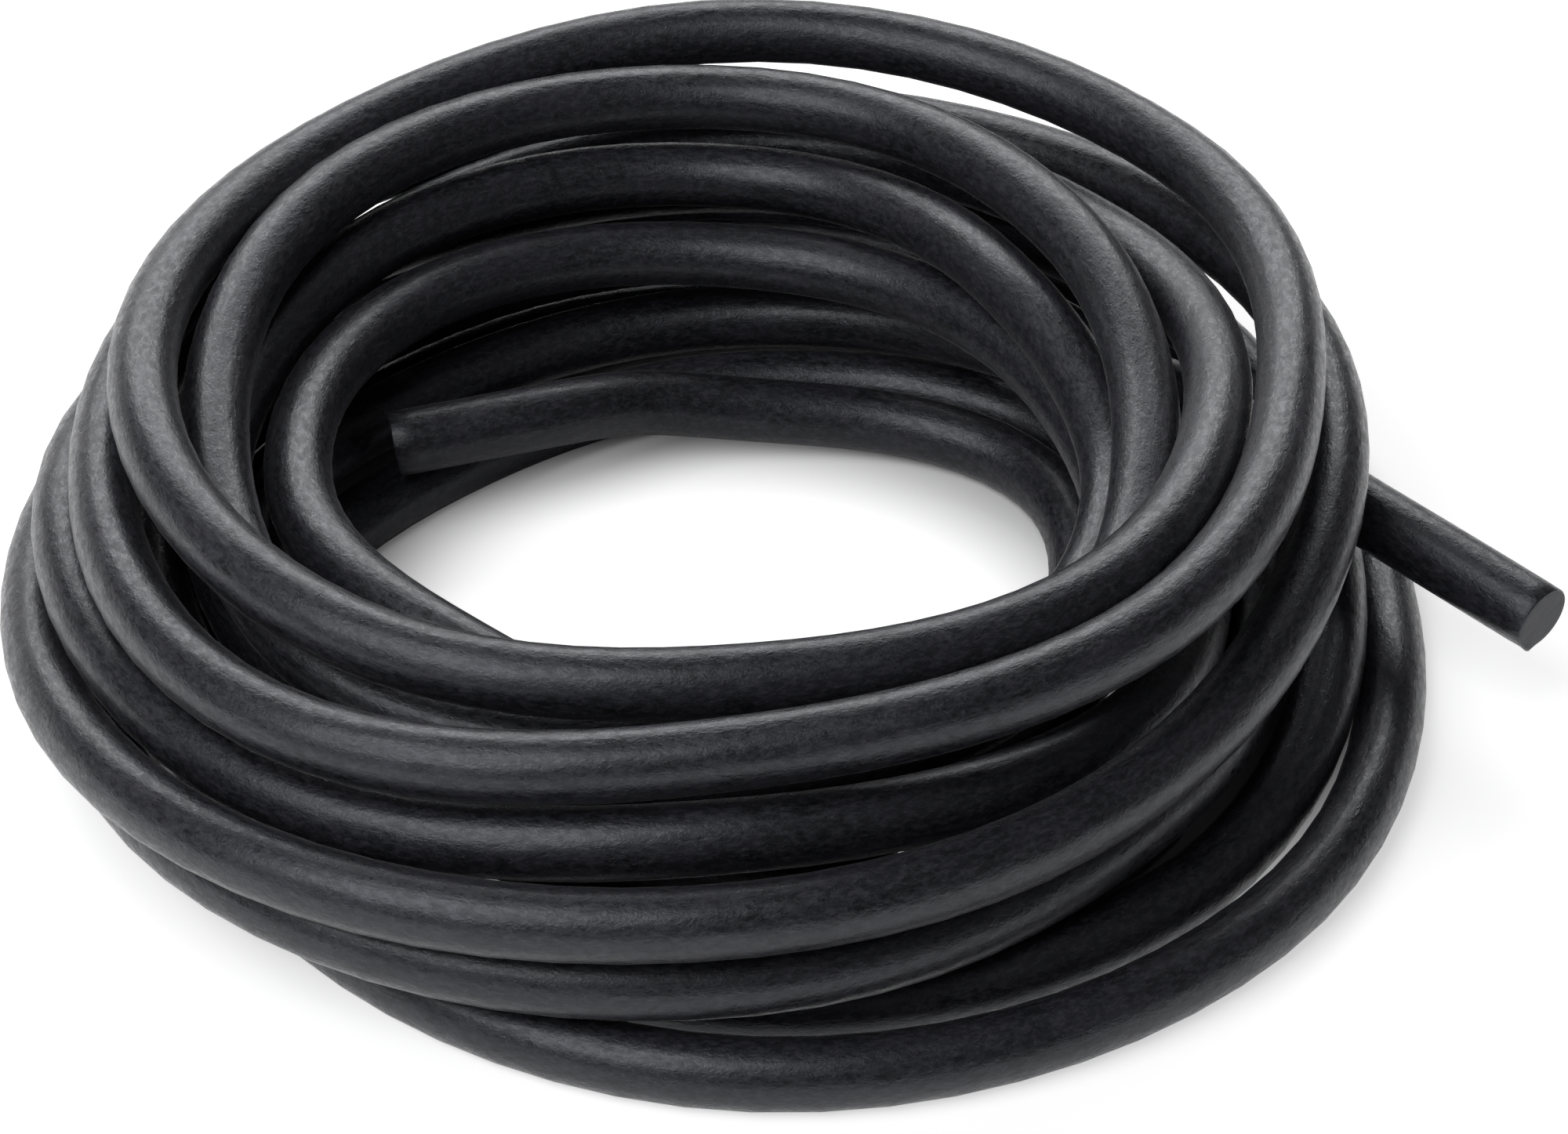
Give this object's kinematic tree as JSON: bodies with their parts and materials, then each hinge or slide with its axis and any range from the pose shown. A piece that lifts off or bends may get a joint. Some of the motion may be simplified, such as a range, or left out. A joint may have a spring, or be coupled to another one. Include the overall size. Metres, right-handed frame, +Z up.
{
  "type": "coiled rubber cord",
  "caption": "Length of smooth solid round rubber cord laid by hand in a loose stacked coil, with one cut end standing out of the side and the other inside.",
  "frame": {"origin": "On the floor under the middle of the part's outline, seen from above.", "axes": "Z is up, along the axis that the cord is wound about. The outer cut end points to +X and -Y, and the inner one to -X."},
  "size_m": [0.3598, 0.3364, 0.0853],
  "materials": {
    "rubber": "matte black rubber with a faint grey bloom and fine scuffs along its length"
  },
  "bodies": {
    "root": {"coil": "rubber", "outer_end": "rubber", "inner_end": "rubber"}
  },
  "joints": []
}
